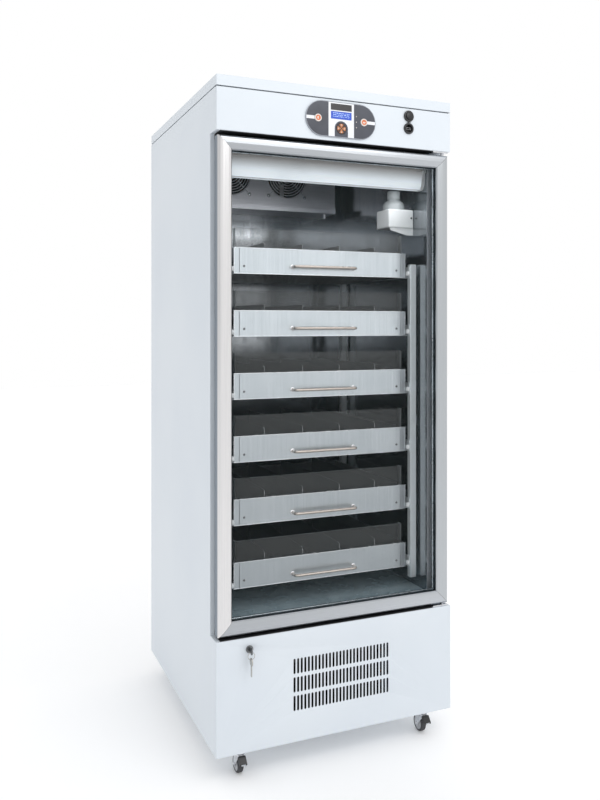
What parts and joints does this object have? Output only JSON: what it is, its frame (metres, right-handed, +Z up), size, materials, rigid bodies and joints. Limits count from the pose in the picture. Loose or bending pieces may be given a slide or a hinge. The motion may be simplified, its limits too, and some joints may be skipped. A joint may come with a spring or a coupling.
{
  "type": "glass-door laboratory incubator cabinet",
  "caption": "Upright cooled incubator cabinet with a framed glass door, roll-out divided steel drawers behind clear guards, a round-ended control panel, ducted fans and lockable casters",
  "frame": {"origin": "on the floor under the middle of the bounding box", "axes": "+Z up and along the cabinet's height; the door faces -Y; +X to the right of someone facing the door"},
  "size_m": [0.745, 0.8206, 1.925],
  "materials": {
    "white_paint": "white powder coat with a faint blue cast",
    "black_plastic": "black moulded plastic",
    "liner_steel": "polished stainless sheet",
    "lamp_white": "white lamp cover",
    "stainless": "brushed stainless sheet",
    "zinc_plate": "bright plated steel",
    "white_plastic": "white moulded plastic",
    "bottle_plastic": "translucent plastic",
    "charcoal_plastic": "dark control plate",
    "display_blue": "blue display",
    "unit_black": "black cooling unit",
    "brushed_aluminium": "brushed aluminium with a warm cast",
    "clear_glass": "clear float glass",
    "dark_seal": "dark magnetic gasket",
    "orange_plastic": "orange keys",
    "key_nickel": "nickel-plated brass key",
    "clear_acrylic": "clear acrylic sheet",
    "tread_grey": "grey rubber tread"
  },
  "bodies": {
    "cabinet": {"outer_casing": "white_paint", "power_inlet": "black_plastic", "top_lid": "white_paint", "header_panel": "white_paint", "plinth_panel": "white_paint", "inner_liner": "liner_steel", "light_box": "lamp_white", "evaporator_housing": "stainless", "drip_tray": "stainless", "left_fan_guard": "zinc_plate", "right_fan_guard": "zinc_plate", "left_drawer_frame": "zinc_plate", "right_drawer_frame": "zinc_plate", "bottle_holder": "white_plastic", "buffer_bottle": "bottle_plastic", "lower_hinge_bracket": "zinc_plate", "upper_hinge_bracket": "zinc_plate", "control_bezel": "charcoal_plastic", "display_window": "display_blue", "usb_socket": "black_plastic", "cooling_unit": "unit_black"},
    "left_fan": {"left_fan_rotor": "black_plastic"},
    "right_fan": {"right_fan_rotor": "black_plastic"},
    "condenser_fan_wheel": {"condenser_fan": "black_plastic"},
    "door": {"door_frame": "brushed_aluminium", "outer_glass": "clear_glass", "inner_glass": "clear_glass", "door_gasket": "dark_seal"},
    "left_button_body": {"left_button": "orange_plastic"},
    "right_button_body": {"right_button": "orange_plastic"},
    "cursor_pad_body": {"cursor_pad": "orange_plastic"},
    "cap": {"socket_cap": "black_plastic"},
    "lock": {"door_lock": "zinc_plate"},
    "hanging_key": {"spare_key": "key_nickel"},
    "drawer_1": {"drawer_1_tray": "stainless", "drawer_1_guard": "clear_acrylic", "drawer_1_handle": "stainless"},
    "drawer_2": {"drawer_2_tray": "stainless", "drawer_2_guard": "clear_acrylic", "drawer_2_handle": "stainless"},
    "drawer_3": {"drawer_3_tray": "stainless", "drawer_3_guard": "clear_acrylic", "drawer_3_handle": "stainless"},
    "drawer_4": {"drawer_4_tray": "stainless", "drawer_4_guard": "clear_acrylic", "drawer_4_handle": "stainless"},
    "drawer_5": {"drawer_5_tray": "stainless", "drawer_5_guard": "clear_acrylic", "drawer_5_handle": "stainless"},
    "drawer_6": {"drawer_6_tray": "stainless", "drawer_6_guard": "clear_acrylic", "drawer_6_handle": "stainless"},
    "front_left_caster": {"front_left_caster_fork": "zinc_plate"},
    "front_left_caster_roll": {"front_left_caster_wheel": "tread_grey"},
    "front_right_caster": {"front_right_caster_fork": "zinc_plate"},
    "front_right_caster_roll": {"front_right_caster_wheel": "tread_grey"},
    "rear_left_caster": {"rear_left_caster_fork": "zinc_plate"},
    "rear_left_caster_roll": {"rear_left_caster_wheel": "tread_grey"},
    "rear_right_caster": {"rear_right_caster_fork": "zinc_plate"},
    "rear_right_caster_roll": {"rear_right_caster_wheel": "tread_grey"}
  },
  "joints": [
    {"name": "door_hinge", "type": "hinge", "parent": "cabinet", "child": "door", "pos_m": [0.3535, -0.36575, 0.3965], "axis": [0, 0, 1], "range_deg": [0, 120]},
    {"name": "drawer_1_slide", "type": "slide", "parent": "cabinet", "child": "drawer_1", "axis": [0, -1, 0], "range_m": [0, 0.32]},
    {"name": "drawer_2_slide", "type": "slide", "parent": "cabinet", "child": "drawer_2", "axis": [0, -1, 0], "range_m": [0, 0.32]},
    {"name": "drawer_3_slide", "type": "slide", "parent": "cabinet", "child": "drawer_3", "axis": [0, -1, 0], "range_m": [0, 0.32]},
    {"name": "drawer_4_slide", "type": "slide", "parent": "cabinet", "child": "drawer_4", "axis": [0, -1, 0], "range_m": [0, 0.32]},
    {"name": "drawer_5_slide", "type": "slide", "parent": "cabinet", "child": "drawer_5", "axis": [0, -1, 0], "range_m": [0, 0.32]},
    {"name": "drawer_6_slide", "type": "slide", "parent": "cabinet", "child": "drawer_6", "axis": [0, -1, 0], "range_m": [0, 0.32]},
    {"name": "left_button_press", "type": "slide", "parent": "cabinet", "child": "left_button_body", "axis": [0, 1, 0], "range_m": [0, 0.0012], "stiffness_N_per_m": 600},
    {"name": "right_button_press", "type": "slide", "parent": "cabinet", "child": "right_button_body", "axis": [0, 1, 0], "range_m": [0, 0.0012], "stiffness_N_per_m": 600},
    {"name": "cursor_pad_press", "type": "slide", "parent": "cabinet", "child": "cursor_pad_body", "axis": [0, 1, 0], "range_m": [0, 0.0012], "stiffness_N_per_m": 600},
    {"name": "socket_cap_hinge", "type": "hinge", "parent": "cabinet", "child": "cap", "pos_m": [0.2247, -0.38765, 1.8503], "axis": [1, 0, 0], "range_deg": [0, 178]},
    {"name": "lock_turn", "type": "hinge", "parent": "cabinet", "child": "lock", "pos_m": [-0.278, -0.38275, 0.3575], "axis": [0, 1, 0], "range_deg": [0, 90]},
    {"name": "key_swing", "type": "hinge", "parent": "lock", "child": "hanging_key", "pos_m": [-0.278, -0.39925, 0.354], "axis": [0, 1, 0], "range_deg": [-45, 20]},
    {"name": "left_fan_spin", "type": "hinge", "parent": "cabinet", "child": "left_fan", "pos_m": [-0.1255, 0.27225, 1.784], "axis": [0, 1, 0], "continuous": true},
    {"name": "right_fan_spin", "type": "hinge", "parent": "cabinet", "child": "right_fan", "pos_m": [0.0905, 0.27225, 1.784], "axis": [0, 1, 0], "continuous": true},
    {"name": "condenser_fan_spin", "type": "hinge", "parent": "cabinet", "child": "condenser_fan_wheel", "pos_m": [0.0048, -0.28275, 0.1863], "axis": [0, 1, 0], "continuous": true},
    {"name": "front_left_caster_swivel", "type": "hinge", "parent": "cabinet", "child": "front_left_caster", "pos_m": [-0.294, -0.34975, 0.05], "axis": [0, 0, 1], "continuous": true},
    {"name": "front_left_caster_wheel_spin", "type": "hinge", "parent": "front_left_caster", "child": "front_left_caster_roll", "pos_m": [-0.294, -0.33375, 0.025], "axis": [1, 0, 0], "continuous": true},
    {"name": "front_right_caster_swivel", "type": "hinge", "parent": "cabinet", "child": "front_right_caster", "pos_m": [0.294, -0.34975, 0.05], "axis": [0, 0, 1], "continuous": true},
    {"name": "front_right_caster_wheel_spin", "type": "hinge", "parent": "front_right_caster", "child": "front_right_caster_roll", "pos_m": [0.294, -0.33375, 0.025], "axis": [1, 0, 0], "continuous": true},
    {"name": "rear_left_caster_swivel", "type": "hinge", "parent": "cabinet", "child": "rear_left_caster", "pos_m": [-0.294, 0.37725, 0.05], "axis": [0, 0, 1], "continuous": true},
    {"name": "rear_left_caster_wheel_spin", "type": "hinge", "parent": "rear_left_caster", "child": "rear_left_caster_roll", "pos_m": [-0.294, 0.36125, 0.025], "axis": [1, 0, 0], "continuous": true},
    {"name": "rear_right_caster_swivel", "type": "hinge", "parent": "cabinet", "child": "rear_right_caster", "pos_m": [0.294, 0.37725, 0.05], "axis": [0, 0, 1], "continuous": true},
    {"name": "rear_right_caster_wheel_spin", "type": "hinge", "parent": "rear_right_caster", "child": "rear_right_caster_roll", "pos_m": [0.294, 0.36125, 0.025], "axis": [1, 0, 0], "continuous": true}
  ],
  "couplings": [
    {"joint": "drawer_1_slide", "follows": "door_hinge", "m_per_rad": 0.15278},
    {"joint": "drawer_2_slide", "follows": "door_hinge", "m_per_rad": 0.15278},
    {"joint": "drawer_3_slide", "follows": "door_hinge", "m_per_rad": 0.15278},
    {"joint": "drawer_4_slide", "follows": "door_hinge", "m_per_rad": 0.15278},
    {"joint": "drawer_5_slide", "follows": "door_hinge", "m_per_rad": 0.15278},
    {"joint": "drawer_6_slide", "follows": "door_hinge", "m_per_rad": 0.15278}
  ]
}
